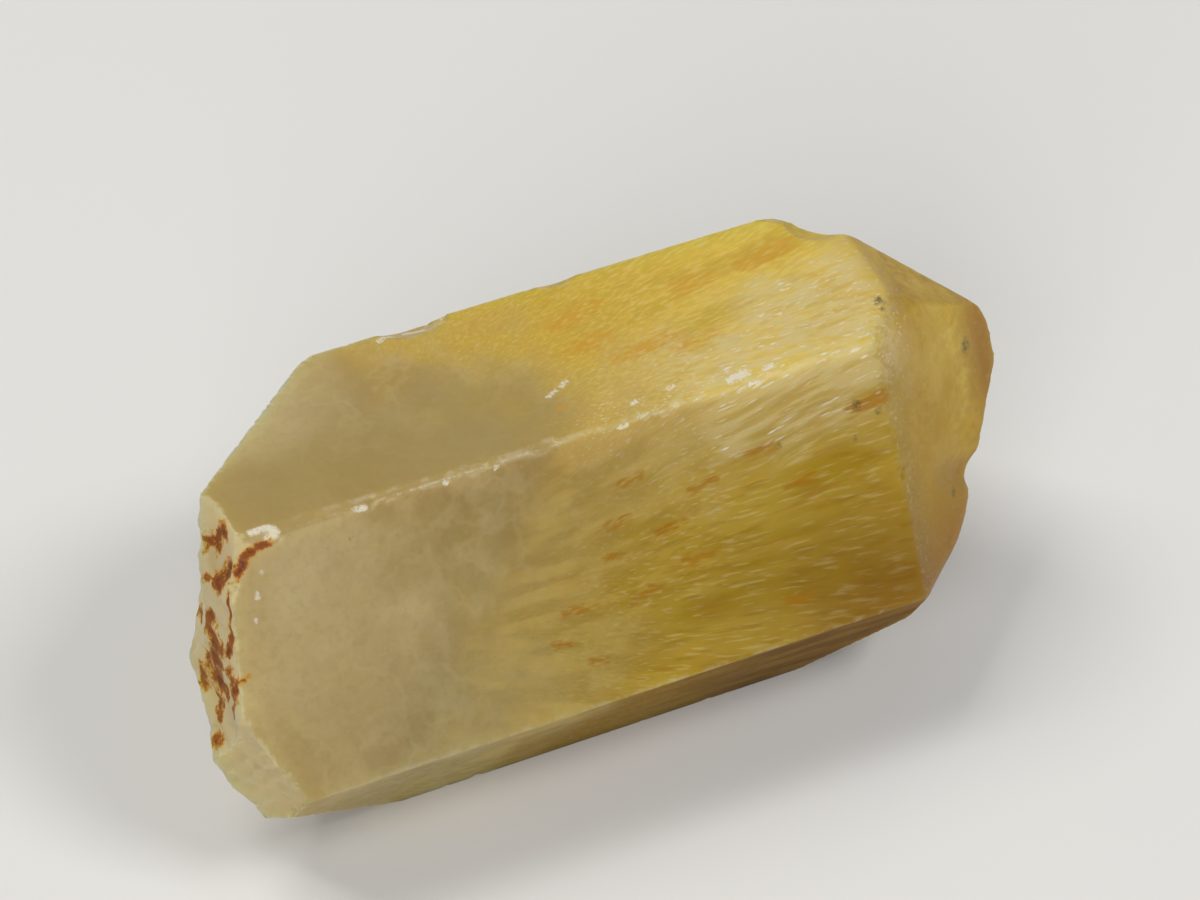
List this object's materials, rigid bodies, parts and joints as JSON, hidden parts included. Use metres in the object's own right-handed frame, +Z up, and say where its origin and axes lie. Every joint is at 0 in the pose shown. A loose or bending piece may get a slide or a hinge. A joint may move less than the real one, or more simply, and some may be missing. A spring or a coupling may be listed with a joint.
{
  "type": "mango quartz crystal",
  "caption": "Stubby cloudy quartz crystal with golden yellow fibres inside: a prism with a natural point at one end and a rough, iron-stained break at the other.",
  "frame": {"origin": "on the surface that the crystal lies on, under the middle of its bounding box", "axes": "+X along the crystal axis towards the natural point, +Z up from the prism face that it lies on"},
  "size_m": [0.0331, 0.0156, 0.0139],
  "materials": {
    "quartz": "cloudy translucent quartz, satin faces, golden at the point and greyer towards the break"
  },
  "bodies": {
    "root": {"quartz_crystal": "quartz"}
  },
  "joints": []
}
